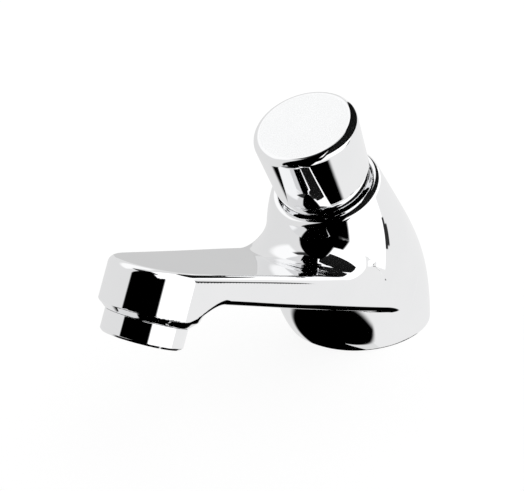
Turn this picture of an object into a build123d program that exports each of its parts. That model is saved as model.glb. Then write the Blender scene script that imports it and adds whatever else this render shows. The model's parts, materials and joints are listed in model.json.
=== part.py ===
from build123d import *
import math
import os

# Push timed tap for a basin, in millimetres.
# +Z is up and the spout points along -Y. The origin is the centre of the foot, on the deck.
# A size that ends in _s is a height along the button's tilted axis, from where it meets the deck.
# A size that ends in _h is a height along the outlet's tilted axis, from the outlet's lower edge,
# and one that ends in _q is a distance from that axis back towards the column.

# Fits
overrun = 1.0             # how far a cutting shape passes the face that it cuts
running_gap = 0.3         # round a moving piece that nothing guides there
guide_gap = 0.08          # round a rod in its guide
seal_gap = 0.15           # between a seal and what slides in it
seat_gap = 0.05           # between a fixed piece and the bore that holds it
closed_gap = 0.1          # between the washer and its seat with the valve shut

# How closely the largest round with room on an edge is found
round_search = 0.25
round_search_steps = 20

# Sides that stand for a round section on seals and wire
cord_sides = 6

# Axes of the button and of the outlet
button_tilt = 28.8
foot_y = 6.6              # where the button's axis meets the deck
outlet_tilt = 25.9
outlet_y = -127.1
outlet_z = 41.3

# Stem and timing cylinder, which the sizes round them follow
stroke = 5.0
stem_r = 3.0
cylinder_r = 9.0
cylinder_sleeve_wall = 1.2
bonnet_wall = 2.7         # of its skirt, round the cylinder
bonnet_flange_width = 1.2
skirt_gap = 0.4           # between the bonnet's flange and the button's skirt
skirt_wall = 1.8
well_gap = 0.9            # between the skirt and the well
collar_wall = 2.5

# Column: three oval sections, then the round collar
collar_s = 72.3
collar_round = 1.5
column_half_width = 25.2  # at the belly, where it is widest
foot_narrowing = 0.1
shoulder_narrowing = 0.9
foot_half_length = 30.8
belly_half_length = 32.6
shoulder_half_length = 24.0
foot_exponent = 2.1       # 2 is an ellipse, more is squarer towards the spout
belly_exponent = 2.4
shoulder_exponent = 2.05
belly_place_shares = (0.2834, 0.3425, 1 / 3)      # of the collar's y, z and tilt
shoulder_place_shares = (0.8005, 0.7892, 2 / 3)

# Spout: an outline in plan, with a top and an underside that rise towards the column
nose_r = 15.8
nose_flare = 6.5          # degrees that the sides open where they leave the round nose
nose_h = 6.9
nose_chamfer = 2.7
spout_root_q = 120.0      # inside the column
spout_root_inset = 0.6    # how far its sides end inside the column's
spout_side_shares = ((0.24, 0.352), (0.465, 0.705), (0.683, 0.932))  # of its length and widening
spout_tip_top_h = 22.0
spout_mid_top_q = 28.8
spout_mid_top_h = 27.7
spout_root_top_h = 39.7
spout_under_h = 14.9      # underside at the outlet's axis
spout_root_under_h = 25.1
arch_round = 7.0          # between the underside and the nose
side_round = 3.0          # along the lower edges of the sides
neck_round = 9.5          # between the top of the spout and the column
neck_q_share = 0.62       # where that line lies, as a share of the spout's length

# Bores for the cartridge
well_depth = 11.0
bonnet_thread_length = 11.3
gallery_height = 19.0
cylinder_ledge = 1.0      # under the cylinder's flange
seat_ledge = 2.5          # on top of the seat ring
seat_shelf = 1.5          # under the seat ring
valve_side_room = 0.95    # round the valve in the inlet chamber
valve_room = 0.7          # under the valve when the button is fully pressed

# Waterway in the spout, from the gallery to the chamber over the aerator
duct_width = 20.0
duct_height = 4.8
duct_drop = 1.2           # of its middle under the chamber's top
duct_sink = 2.85          # of its middle under the gallery's floor, where it ends
duct_reach_share = 0.48   # of the gallery's radius, how far before the axis it ends
nose_chamber_height = 6.6
nose_chamber_step = 1.2   # from the thread in to the chamber

# Underside of the foot
recess_wall = 4.0
recess_depth = 7.0
boss_z = 2.0
boss_wall = 3.2
inlet_y = 3.0
inlet_thread_r = 4.46     # core of M10x1
inlet_thread_length = 8.4
inlet_throat_step = 0.8   # under the strainer's edge
stud_y = -17.0
stud_thread_r = 3.32      # core of M8
stud_thread_length = 10.0
gasket_inset = 1.0
gasket_width = 2.0
gasket_thickness = 1.0

# Button
button_height = 22.9      # from the crease to the top
button_rim_round = 2.7
button_side_share = 0.51  # where its side is given, as a share of the height below the rim
button_ceiling = 3.0
band_taper = 0.1
crease_step = 0.9         # from the band out to the crease
side_flare = 0.55
rim_flare = 0.65
bore_step = 1.0           # where the skirt's bore opens
crease_room = 0.4         # between the crease and the collar when fully pressed
skirt_room = 2.7          # between the skirt and the well's floor when fully pressed
hub_wall = 3.0
hub_room = 1.0            # between the stem nut and the bonnet when fully pressed
hub_grip = 11.0           # of the stem in the hub

# Stem and its nut
stem_collar_width = 1.5
stem_collar_height = 1.2
stem_nut_height = 4.0
stem_nut_wall = 2.0

# Bonnet
bonnet_neck_height = 2.0
bonnet_neck_wall = 2.0    # round the wiper ring
bonnet_hex_height = 3.7
bonnet_hex_inset = 2.0    # of its flats from the bonnet's bore
bonnet_flange_height = 3.0
bonnet_land = 0.6         # over the seal's groove
bonnet_groove_height = 1.8
bonnet_groove_depth = 1.45
stem_groove_height = 2.0
stem_groove_depth = 1.7
wiper_width = 2.0
wiper_height = 1.4

# Timing cylinder
cylinder_rise = 8.0       # above the gallery
cylinder_room = 0.5       # over its top
cylinder_flange_gap = 0.2
cylinder_flange_height = 2.0
cylinder_band_height = 8.5
cylinder_groove_height = 2.0
cylinder_groove_depth = 1.25
water_gap = 1.4           # round its windows
outlet_chamber_wall = 2.2
outlet_chamber_height = 6.5
floor_thickness = 3.0
floor_groove_height = 1.8
floor_groove_depth = 1.7
window_count = 6
window_width = 4.0
window_margin = 0.75      # above and below a window

# Piston, its seal and its jet
piston_room = 0.3         # over the stem's collar at rest
piston_height = 4.0
piston_flange_height = 1.8
piston_lip_height = 0.6
piston_lip_step = 1.5     # in from the cylinder
piston_neck_step = 2.1
cup_lip_depth = 1.0
cup_lip_width = 0.5
jet_r = 0.7
jet_inset = 1.1           # in from the piston's neck
jet_head_r = 1.0
jet_head_height = 0.5

# Return spring
spring_gap = 0.9          # round the stem
wire_r = 0.5
spring_turns = 6

# Valve
seat_ring_height = 4.0
seat_lip_width = 1.0
seat_lip_height = 0.8
seat_groove_height = 1.6
seat_groove_depth = 1.15
washer_overlap = 0.4      # past the seat's lip
washer_thickness = 2.0
carrier_wall = 0.6
carrier_floor = 1.6
carrier_rim_height = 1.2
screw_step = 1.0          # thinner than the stem
screw_head_width = 1.4
screw_head_height = 1.4
screw_slot_width = 0.9
screw_slot_depth = 0.6
screw_depth = 4.2         # thread inside the stem

# Inlet pieces
strainer_thickness = 0.8
strainer_hole = 0.9
strainer_pitch = 1.4
limiter_ledge = 0.26      # from the thread in to the limiter's bore
limiter_room = 0.2        # between the thread's end and the limiter
limiter_thickness = 2.0
limiter_orifice_r = 1.2
limiter_groove_height = 1.1
limiter_groove_depth = 1.0

# Aerator
ring_inset = 0.1          # inside the nose's chamfer
ring_step = 1.0           # from the ring in to its thread
ring_wall = 1.4
ring_lip_width = 0.7
ring_lip_height = 1.0
ring_chamfer = 0.7
ring_thread_length = 5.7
aerator_gasket_width = 2.5
aerator_gasket_thickness = 1.4
grille_thickness = 2.0
grille_rim = 0.2          # inside the ring's lip
cell_pitch = 2.75
cell_wall = 0.5
core_wall = 1.4
core_step = 0.4
grille_space = 2.0        # between the grille and the lower screen
screen_spacing = 2.0
spray_space = 2.8         # between the upper screen and the spray plate
spray_plate_thickness = 1.2
spray_hole_count = 12
spray_hole_r = 0.9
spray_hole_inset = 2.2    # of their middles, in from the plate's edge
screen_thickness = 0.4
screen_hole = 1.3
screen_pitch = 2.1

# Radii round the button's axis, from the cylinder outwards
sleeve_r = cylinder_r + cylinder_sleeve_wall
bonnet_bore_r = sleeve_r + bonnet_wall + 2 * seat_gap
bonnet_flange_r = bonnet_bore_r + bonnet_flange_width
skirt_bore_r = bonnet_flange_r + skirt_gap
skirt_r = skirt_bore_r + skirt_wall
well_r = skirt_r + well_gap
collar_r = well_r + collar_wall
band_r = skirt_r + band_taper
crease_r = band_r + crease_step
button_side_r = crease_r + side_flare
button_rim_r = button_side_r + rim_flare
button_bore_r = skirt_bore_r + bore_step
hub_r = stem_r + hub_wall
wiper_r = stem_r + wiper_width
bonnet_neck_r = wiper_r + bonnet_neck_wall
piston_lip_r = cylinder_r - piston_lip_step
piston_neck_r = cylinder_r - piston_neck_step
jet_radius = piston_neck_r - jet_inset
spring_mean_r = stem_r + spring_gap + wire_r

# Radii of the bores under the bonnet, and of the valve that they hold
gallery_r = bonnet_bore_r - cylinder_ledge
seat_bore_r = gallery_r - seat_ledge
inlet_chamber_r = seat_bore_r - seat_shelf
washer_r = inlet_chamber_r - valve_side_room - carrier_wall - seat_gap
seat_hole_r = washer_r - washer_overlap - seat_lip_width
screw_r = stem_r - screw_step
screw_head_r = screw_r + screw_head_width

# Heights along the button's axis, from the collar down and then up
well_floor_s = collar_s - well_depth
gallery_top_s = well_floor_s - bonnet_thread_length
gallery_floor_s = gallery_top_s - gallery_height
seat_floor_s = gallery_floor_s - seat_ring_height
valve_closed_s = seat_floor_s - seat_lip_height - closed_gap
valve_low_s = valve_closed_s - washer_thickness - carrier_floor - screw_head_height
inlet_chamber_s = valve_low_s - stroke - valve_room
floor_low_s = gallery_floor_s + outlet_chamber_height
spring_seat_s = floor_low_s + floor_thickness
cylinder_top_s = gallery_top_s + cylinder_rise
bonnet_ceiling_s = cylinder_top_s + cylinder_room
piston_s = bonnet_ceiling_s - piston_room - stem_collar_height - piston_height
hexagon_s = well_floor_s + bonnet_flange_height
neck_s = hexagon_s + bonnet_hex_height
bonnet_top_s = neck_s + bonnet_neck_height
wiper_s = bonnet_top_s - wiper_height
skirt_s = well_floor_s + stroke + skirt_room
crease_s = collar_s + stroke + crease_room
hub_s = bonnet_top_s + hub_room + stroke + stem_nut_height
stem_top_s = hub_s + hub_grip
button_top_s = crease_s + button_height

# Middles of the seals' grooves
stem_groove_s = (bonnet_ceiling_s + wiper_s) / 2
bonnet_groove_s = well_floor_s - bonnet_land - bonnet_groove_height / 2
cylinder_groove_s = gallery_top_s - cylinder_band_height / 2
floor_groove_s = (floor_low_s + spring_seat_s) / 2
seat_groove_s = (seat_floor_s + gallery_floor_s) / 2

# Outlet, from the nose inwards and upwards
ring_r = nose_r - nose_chamfer - ring_inset
aerator_bore_r = ring_r - ring_step
ring_bore_r = aerator_bore_r - ring_wall
ring_lip_r = ring_bore_r - ring_lip_width
core_bore_r = ring_bore_r - core_wall
thread_top_h = nose_h + ring_thread_length
aerator_shoulder_h = thread_top_h + aerator_gasket_thickness
nose_chamber_top_h = aerator_shoulder_h + nose_chamber_height
grille_top_h = ring_lip_height + grille_thickness
lower_screen_h = grille_top_h + grille_space
upper_screen_h = lower_screen_h + screen_spacing
spray_plate_h = upper_screen_h + spray_space

# Inlet, upwards from its boss
inlet_thread_z = boss_z + inlet_thread_length
limiter_bore_r = inlet_thread_r - limiter_ledge
limiter_low_z = inlet_thread_z + limiter_room
limiter_top_z = limiter_low_z + limiter_thickness
inlet_shoulder_z = limiter_top_z + strainer_thickness

# Widths of the column and the spout
foot_half_width = column_half_width - foot_narrowing
shoulder_half_width = column_half_width - shoulder_narrowing
spout_root_half_width = column_half_width - spout_root_inset


def leaning(y, z, tilt):
    """A plane through (0, y, z) whose normal leans forward from vertical by tilt degrees."""
    angle = math.radians(tilt)
    return Plane(origin=(0, y, z), x_dir=(1, 0, 0), z_dir=(0, -math.sin(angle), math.cos(angle)))


cartridge = leaning(foot_y, 0, button_tilt)
outlet = leaning(outlet_y, outlet_z, -outlet_tilt)
inlet = Plane(origin=(0, inlet_y, 0))


def rod(radius, low, high):
    """A round bar on the local Z axis between two heights."""
    blank = Cylinder(radius, high - low, align=(Align.CENTER, Align.CENTER, Align.MIN))
    return Pos(0, 0, low) * blank


def tube(outer_r, inner_r, low, high):
    """A round bar with a bore right through it."""
    return rod(outer_r, low, high) - rod(inner_r, low - overrun, high + overrun)


def turned(*corners):
    """A solid turned about the local Z axis from its (radius, height) corners."""
    return revolve(Plane.XZ * make_face(Polyline(*corners, close=True)), Axis.Z)


def hexagon(flats, low, high):
    """A hexagonal bar on the local Z axis between two heights."""
    bar = extrude(RegularPolygon(flats / 2, 6, major_radius=False), high - low)
    return Pos(0, 0, low) * bar


def cord_corners(radius, middle_r, middle):
    """The corners of a round cord's section, with few sides."""
    corners = []
    for step in range(cord_sides):
        angle = 2 * math.pi * step / cord_sides
        corners.append((middle_r + radius * math.cos(angle), middle + radius * math.sin(angle)))
    return corners


def sealing_ring(inner_r, outer_r, middle):
    """A ring of round cord that fills the space between two radii."""
    return turned(*cord_corners((outer_r - inner_r) / 2, (inner_r + outer_r) / 2, middle))


def edge_at(shape, point):
    """The edge of a shape that passes closest to a point."""
    return shape.edges().sort_by_distance(point)[0]


def oval(half_width, half_length, front_exponent, count=16):
    """A closed oval face, an ellipse at the back and squarer towards the spout."""
    points = []
    for step in range(count):
        angle = 2 * math.pi * step / count
        across = math.cos(angle)
        along = math.sin(angle)
        exponent = front_exponent if along < 0 else 2
        points.append((
            half_width * math.copysign(abs(across) ** (2 / exponent), across),
            half_length * math.copysign(abs(along) ** (2 / exponent), along),
        ))
    return Face(Wire(Edge.make_spline([Vector(x, y) for x, y in points], periodic=True)))


# Body: the outer form

def between(shares):
    """A plane part of the way from the deck to the collar, by shares of the collar's y, z and tilt."""
    collar = cartridge.offset(collar_s).origin
    y_share, z_share, tilt_share = shares
    return leaning(y_share * collar.Y, z_share * collar.Z, tilt_share * button_tilt)


def column():
    """The oval column that leans forward into the round collar."""
    foot = leaning(0, 0, 0) * oval(foot_half_width, foot_half_length, foot_exponent)
    belly = between(belly_place_shares) * oval(column_half_width, belly_half_length, belly_exponent)
    shoulder = between(shoulder_place_shares) * oval(
        shoulder_half_width, shoulder_half_length, shoulder_exponent)
    collar = cartridge.offset(collar_s) * oval(collar_r, collar_r, 2)
    return loft([foot, belly, shoulder, collar])


def spout_point(x, q, h):
    """A point of the spout in the tap's frame."""
    return outlet.from_local_coords(Vector(x, q, h))


def spout_half_width(share):
    """Half the spout's width where a share of its widening is reached."""
    return nose_r + share * (spout_root_half_width - nose_r)


def under_h(q):
    """Height of the spout's underside at a distance from the outlet's axis."""
    return spout_under_h + (spout_root_under_h - spout_under_h) * q / spout_root_q


def spout_outline():
    """The spout in plan: a round nose, sides that widen, a square end inside the column."""
    flare = math.radians(nose_flare)
    leave = (nose_r * math.cos(flare), -nose_r * math.sin(flare))
    side = [leave]
    for q_share, width_share in spout_side_shares:
        side.append((spout_half_width(width_share), q_share * spout_root_q))
    side.append((spout_root_half_width, spout_root_q))
    slope = (math.sin(flare), math.cos(flare))
    right = Spline(*side, tangents=[slope, (0, 1)])
    left = Spline(*[(-x, q) for x, q in side], tangents=[(-slope[0], slope[1]), (0, 1)])
    back = Line(right @ 1, left @ 1)
    nose = ThreePointArc(left @ 0, (0, -nose_r), right @ 0)
    return make_face([right, back, left, nose])


def side_slab(*corners, lid=None):
    """A slab right across the spout, from (q, h) corners and an optional curved lid."""
    points = [spout_point(0, q, h) for q, h in corners]
    if lid is None:
        outline = Wire.make_polygon(points)
    else:
        outline = Wire([lid] + [Line(a, b) for a, b in zip(points, points[1:])])
    return extrude(Face(outline), spout_root_half_width + nose_r, dir=(1, 0, 0), both=True)


def spout():
    """The flat spout: its outline cut off by the top, the arched underside and the nose's chamfer."""
    tip_q = -nose_r - overrun
    top = ThreePointArc(
        spout_point(0, tip_q, spout_tip_top_h),
        spout_point(0, spout_mid_top_q, spout_mid_top_h),
        spout_point(0, spout_root_q, spout_root_top_h))
    below_top = side_slab(
        (spout_root_q, spout_root_top_h), (spout_root_q, 0), (tip_q, 0), (tip_q, spout_tip_top_h),
        lid=top)
    plan = outlet.offset(nose_h) * spout_outline()
    blank = extrude(plan, spout_root_top_h) & below_top
    return blank - under_arch() - nose_bevel()


def under_arch():
    """The space under the spout, round the nose that stays full height."""
    front_q = -2 * nose_r
    back_q = spout_root_q + overrun
    space = side_slab(
        (front_q, under_h(front_q)), (back_q, under_h(back_q)), (back_q, 0), (front_q, 0))
    nose = Circle(nose_r) + Pos(0, front_q / 2) * Rectangle(2 * nose_r, -front_q)
    space -= extrude(outlet * nose, spout_root_top_h)
    corners = [
        edge_at(space, spout_point(nose_r, front_q / 2, under_h(front_q / 2))),
        edge_at(space, spout_point(-nose_r, front_q / 2, under_h(front_q / 2))),
        edge_at(space, spout_point(0, nose_r, under_h(nose_r))),
    ]
    return fillet(corners, arch_round)


def nose_bevel():
    """What the chamfer takes off the lower edge of the nose."""
    low_r = nose_r - nose_chamfer
    reach = nose_chamfer + overrun
    return outlet * turned((low_r, nose_h), (low_r + reach, nose_h), (low_r + reach, nose_h + reach))


def rounded(form, edges, radius):
    """The form with edges rounded, by less where their walls leave no room for the full radius."""
    room = form.max_fillet(edges, tolerance=round_search, max_iterations=round_search_steps)
    return fillet(edges, min(radius, room))


def outer_form():
    """Column and spout in one, with the rounds of the neck, the sides and the collar."""
    form = column() + spout()
    neck_q = neck_q_share * spout_root_q
    neck_h = (spout_mid_top_h + spout_root_top_h) / 2
    form = rounded(form, [edge_at(form, spout_point(0, neck_q, neck_h))], neck_round)
    q_share, width_share = spout_side_shares[1]
    side_q = q_share * spout_root_q
    side_x = spout_half_width(width_share)
    lower_edges = [edge_at(form, spout_point(x, side_q, under_h(side_q))) for x in (-side_x, side_x)]
    form = rounded(form, lower_edges, side_round)
    lip = edge_at(form, cartridge.from_local_coords(Vector(0, collar_r, collar_s)))
    return fillet(lip, collar_round)


# Body: what is cut into it

def cartridge_bores():
    """The well under the button and the stepped bore for the cartridge."""
    return cartridge * (
        rod(well_r, well_floor_s, collar_s + overrun)
        + rod(bonnet_bore_r, gallery_top_s, well_floor_s)
        + rod(gallery_r, gallery_floor_s, gallery_top_s)
        + rod(seat_bore_r, seat_floor_s, gallery_floor_s)
        + rod(inlet_chamber_r, inlet_chamber_s, seat_floor_s))


def waterway():
    """The flat duct in the spout, cut off level with the floor of the gallery."""
    half = duct_height / 2
    tip_h = nose_chamber_top_h - duct_drop
    end = cartridge.from_local_coords(
        Vector(0, -duct_reach_share * gallery_r, gallery_floor_s - duct_sink))
    end_q = outlet.to_local_coords(end).Y
    end_h = outlet.to_local_coords(end).Z
    corners = [(0, tip_h - half), (end_q, end_h - half), (end_q, end_h + half), (0, tip_h + half)]
    outline = Wire.make_polygon([spout_point(0, q, h) for q, h in corners])
    duct = extrude(Face(outline), duct_width / 2, dir=(1, 0, 0), both=True)
    return duct - cartridge * rod(spout_root_q, 0, gallery_floor_s)


def outlet_bores():
    """The thread for the aerator and the chamber above it."""
    return outlet * (
        rod(aerator_bore_r, nose_h - overrun, aerator_shoulder_h)
        + rod(aerator_bore_r - nose_chamber_step, aerator_shoulder_h, nose_chamber_top_h))


def foot_hollow():
    """The recess under the foot round its two bosses, with their threads and the gasket's groove."""
    recess = extrude(
        Ellipse(foot_half_width - recess_wall, foot_half_length - recess_wall), recess_depth)
    recess -= inlet * rod(inlet_thread_r + boss_wall, boss_z, recess_depth)
    recess -= Pos(0, stud_y, 0) * rod(stud_thread_r + boss_wall, boss_z, recess_depth)
    throat_r = limiter_bore_r - inlet_throat_step
    chamber_floor = cartridge.offset(inlet_chamber_s).origin
    throat_back = inlet_y + throat_r - chamber_floor.Y
    throat_rise = throat_back * math.tan(math.radians(button_tilt))
    inlet_hole = inlet * (
        rod(inlet_thread_r, boss_z - overrun, inlet_thread_z)
        + rod(limiter_bore_r, inlet_thread_z, inlet_shoulder_z)
        + rod(throat_r, inlet_shoulder_z, chamber_floor.Z + throat_rise + overrun))
    stud_hole = Pos(0, stud_y, 0) * rod(
        stud_thread_r, boss_z - overrun, boss_z + stud_thread_length)
    return recess + inlet_hole + stud_hole + gasket_ring(0)


def gasket_ring(clearance):
    """The oval ring under the foot, drawn in from its groove by a clearance."""
    outer = gasket_inset + clearance
    inner = gasket_inset + gasket_width - clearance
    ring = Ellipse(foot_half_width - outer, foot_half_length - outer)
    ring -= Ellipse(foot_half_width - inner, foot_half_length - inner)
    return extrude(ring, gasket_thickness)


def body():
    return outer_form() - cartridge_bores() - waterway() - outlet_bores() - foot_hollow()


# Button and stem

def push_button():
    """The hollow cap: a flared side down to the crease, a narrower band, and a hub for the stem."""
    rim_s = button_top_s - button_rim_round
    ceiling_s = button_top_s - button_ceiling
    rim_start = (button_rim_r - button_rim_round, button_top_s)
    rim_end = (button_rim_r, rim_s)
    rim = RadiusArc(rim_start, rim_end, button_rim_round)
    side_s = crease_s + button_side_share * (rim_s - crease_s)
    side = Spline(rim_end, (button_side_r, side_s), (crease_r, crease_s))
    inside = Polyline(
        (crease_r, crease_s), (band_r, collar_s), (skirt_r, skirt_s), (skirt_bore_r, skirt_s),
        (skirt_bore_r, crease_s), (button_bore_r, crease_s + bore_step),
        (button_bore_r, ceiling_s), (hub_r, ceiling_s), (hub_r, hub_s), (stem_r + seat_gap, hub_s),
        (stem_r + seat_gap, stem_top_s), (0, stem_top_s), (0, button_top_s), rim_start)
    cap = revolve(Plane.XZ * make_face([rim, side, inside]), Axis.Z)
    return cartridge * cap


def stem():
    """The rod from the valve washer up into the button, with the collar that stops the piston."""
    collar_low_s = piston_s + piston_height
    rod_body = rod(stem_r, valve_closed_s, stem_top_s)
    rod_body += rod(stem_r + stem_collar_width, collar_low_s, collar_low_s + stem_collar_height)
    rod_body -= rod(screw_r + seat_gap, valve_closed_s - overrun, valve_closed_s + screw_depth)
    return cartridge * rod_body


def stem_nut():
    nut = hexagon(2 * (stem_r + stem_nut_wall), hub_s - stem_nut_height, hub_s)
    bore = rod(stem_r + seat_gap, hub_s - stem_nut_height - overrun, hub_s + overrun)
    return cartridge * (nut - bore)


# Bonnet

def bonnet():
    """The threaded head: a skirt over the cylinder, a flange on the well's floor, a hexagon and a neck."""
    outer_r = bonnet_bore_r - seat_gap
    inner_r = sleeve_r + seat_gap
    bore_r = stem_r + guide_gap
    low_s = gallery_top_s + cylinder_flange_height
    groove_r = bonnet_bore_r - bonnet_groove_depth
    groove_low_s = bonnet_groove_s - bonnet_groove_height / 2
    groove_top_s = bonnet_groove_s + bonnet_groove_height / 2
    stem_groove_r = bore_r + stem_groove_depth
    stem_groove_low_s = stem_groove_s - stem_groove_height / 2
    stem_groove_top_s = stem_groove_s + stem_groove_height / 2
    head = turned(
        (inner_r, low_s), (outer_r, low_s), (outer_r, groove_low_s), (groove_r, groove_low_s),
        (groove_r, groove_top_s), (outer_r, groove_top_s), (outer_r, well_floor_s),
        (bonnet_flange_r, well_floor_s), (bonnet_flange_r, hexagon_s), (bonnet_neck_r, hexagon_s),
        (bonnet_neck_r, bonnet_top_s), (wiper_r, bonnet_top_s), (wiper_r, wiper_s), (bore_r, wiper_s),
        (bore_r, stem_groove_top_s), (stem_groove_r, stem_groove_top_s),
        (stem_groove_r, stem_groove_low_s), (bore_r, stem_groove_low_s), (bore_r, bonnet_ceiling_s),
        (inner_r, bonnet_ceiling_s))
    wrench_hexagon = hexagon(2 * (bonnet_bore_r - bonnet_hex_inset), hexagon_s, neck_s)
    wrench_hexagon -= rod((bonnet_neck_r + wiper_r) / 2, hexagon_s - overrun, neck_s + overrun)
    return cartridge * (head + wrench_hexagon)


def wiper_ring():
    """The scraper in the bonnet's neck, with a lip that leans towards the stem."""
    outer_r = wiper_r - seat_gap
    lip_r = stem_r + seal_gap
    middle_r = (outer_r + lip_r) / 2
    return cartridge * turned(
        (middle_r, wiper_s), (outer_r, wiper_s), (outer_r, bonnet_top_s), (lip_r, bonnet_top_s))


def stem_oring():
    inner_r = stem_r + seal_gap
    outer_r = stem_r + guide_gap + stem_groove_depth - seat_gap
    return cartridge * sealing_ring(inner_r, outer_r, stem_groove_s)


def bonnet_oring():
    inner_r = bonnet_bore_r - bonnet_groove_depth + seat_gap
    outer_r = bonnet_bore_r - seat_gap
    return cartridge * sealing_ring(inner_r, outer_r, bonnet_groove_s)


# Timing cylinder, piston and spring

def timing_cylinder():
    """The sleeve: windows below, a floor that carries the spring, a sealed band and a flange."""
    foot_r = gallery_r - water_gap
    chamber_r = foot_r - outlet_chamber_wall
    sealed_r = gallery_r - seat_gap
    sealed_low_s = gallery_top_s - cylinder_band_height
    flange_r = bonnet_bore_r - cylinder_flange_gap
    flange_top_s = gallery_top_s + cylinder_flange_height
    groove_r = gallery_r - cylinder_groove_depth
    groove_low_s = cylinder_groove_s - cylinder_groove_height / 2
    groove_top_s = cylinder_groove_s + cylinder_groove_height / 2
    bore_r = stem_r + guide_gap
    floor_groove_r = bore_r + floor_groove_depth
    floor_groove_low_s = floor_groove_s - floor_groove_height / 2
    floor_groove_top_s = floor_groove_s + floor_groove_height / 2
    sleeve = turned(
        (chamber_r, gallery_floor_s), (foot_r, gallery_floor_s), (foot_r, sealed_low_s),
        (sealed_r, sealed_low_s), (sealed_r, groove_low_s), (groove_r, groove_low_s),
        (groove_r, groove_top_s), (sealed_r, groove_top_s), (sealed_r, gallery_top_s),
        (flange_r, gallery_top_s), (flange_r, flange_top_s), (sleeve_r, flange_top_s),
        (sleeve_r, cylinder_top_s), (cylinder_r, cylinder_top_s), (cylinder_r, spring_seat_s),
        (bore_r, spring_seat_s), (bore_r, floor_groove_top_s), (floor_groove_r, floor_groove_top_s),
        (floor_groove_r, floor_groove_low_s), (bore_r, floor_groove_low_s), (bore_r, floor_low_s),
        (chamber_r, floor_low_s))
    window_s = (gallery_floor_s + floor_low_s) / 2
    window = Pos(foot_r, 0, window_s) * Box(
        foot_r, window_width, outlet_chamber_height - 2 * window_margin)
    for spot in PolarLocations(0, window_count):
        sleeve -= spot * window
    return cartridge * sleeve


def cylinder_oring():
    inner_r = gallery_r - cylinder_groove_depth + seat_gap
    outer_r = gallery_r - seat_gap
    return cartridge * sealing_ring(inner_r, outer_r, cylinder_groove_s)


def floor_oring():
    inner_r = stem_r + seal_gap
    outer_r = stem_r + guide_gap + floor_groove_depth - seat_gap
    return cartridge * sealing_ring(inner_r, outer_r, floor_groove_s)


def piston():
    """The piston: a flange on top, a neck for the cup seal and a lip that holds it."""
    top_s = piston_s + piston_height
    flange_s = top_s - piston_flange_height
    lip_s = piston_s + piston_lip_height
    flange_r = cylinder_r - running_gap
    bore_r = stem_r + seat_gap
    disc = turned(
        (bore_r, piston_s), (piston_lip_r, piston_s), (piston_lip_r, lip_s), (piston_neck_r, lip_s),
        (piston_neck_r, flange_s), (flange_r, flange_s), (flange_r, top_s), (bore_r, top_s))
    disc -= Pos(jet_radius, 0, 0) * jet_shape(seat_gap)
    return cartridge * disc


def jet_shape(clearance):
    """The metering pin through the piston, its head let into the top."""
    top_s = piston_s + piston_height
    head_s = top_s - jet_head_height
    return rod(jet_r + clearance, piston_s, top_s) + rod(jet_head_r + clearance, head_s, top_s)


def timing_jet():
    return cartridge * Pos(jet_radius, 0, 0) * jet_shape(0)


def cup_seal():
    """The lip seal on the piston's neck, open below so that water spreads its lip."""
    low_s = piston_s + piston_lip_height
    top_s = piston_s + piston_height - piston_flange_height
    inner_r = piston_neck_r + seat_gap
    outer_r = cylinder_r - seal_gap
    fold_r = (piston_lip_r + outer_r) / 2
    return cartridge * turned(
        (inner_r, low_s), (fold_r - cup_lip_width / 2, low_s), (fold_r, low_s + cup_lip_depth),
        (outer_r - cup_lip_width / 2, low_s), (outer_r, low_s), (outer_r, top_s), (inner_r, top_s))


def return_spring():
    """The coil between the cylinder's floor and the piston, one unbroken wire."""
    low_s = spring_seat_s + wire_r
    rise = piston_s - wire_r - low_s
    path = Helix(rise / spring_turns, rise, spring_mean_r)
    section = Plane(origin=path @ 0, z_dir=path % 0) * RegularPolygon(wire_r, cord_sides)
    return cartridge * Pos(0, 0, low_s) * sweep(section, path)


# Valve

def seat_ring():
    """The brass seat: a raised lip round the hole that the washer closes from below."""
    outer_r = seat_bore_r - seat_gap
    lip_s = seat_floor_s - seat_lip_height
    lip_r = seat_hole_r + seat_lip_width
    groove_r = seat_bore_r - seat_groove_depth
    groove_low_s = seat_groove_s - seat_groove_height / 2
    groove_top_s = seat_groove_s + seat_groove_height / 2
    return cartridge * turned(
        (seat_hole_r, lip_s), (lip_r, lip_s), (lip_r + seat_lip_height / 2, seat_floor_s),
        (outer_r, seat_floor_s), (outer_r, groove_low_s), (groove_r, groove_low_s),
        (groove_r, groove_top_s), (outer_r, groove_top_s), (outer_r, gallery_floor_s),
        (seat_hole_r, gallery_floor_s))


def seat_oring():
    inner_r = seat_bore_r - seat_groove_depth + seat_gap
    outer_r = seat_bore_r - seat_gap
    return cartridge * sealing_ring(inner_r, outer_r, seat_groove_s)


def valve_washer():
    low_s = valve_closed_s - washer_thickness
    return cartridge * tube(washer_r, screw_r + seat_gap, low_s, valve_closed_s)


def valve_carrier():
    """The cup under the washer."""
    floor_top_s = valve_closed_s - washer_thickness
    low_s = floor_top_s - carrier_floor
    inner_r = washer_r + seat_gap
    outer_r = inner_r + carrier_wall
    cup = tube(outer_r, screw_r + seat_gap, low_s, floor_top_s + carrier_rim_height)
    return cartridge * (cup - rod(inner_r, floor_top_s, floor_top_s + carrier_rim_height + overrun))


def valve_screw():
    """The screw that holds carrier and washer to the stem, with a slot in its head."""
    head_top_s = valve_closed_s - washer_thickness - carrier_floor
    head_low_s = head_top_s - screw_head_height
    tip_s = valve_closed_s + screw_depth - seat_gap
    screw = rod(screw_head_r, head_low_s, head_top_s) + rod(screw_r, head_top_s, tip_s)
    slot_blank = Box(2 * screw_head_r + overrun, screw_slot_width, 2 * screw_slot_depth)
    return cartridge * (screw - Pos(0, 0, head_low_s) * slot_blank)


# Inlet

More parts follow.
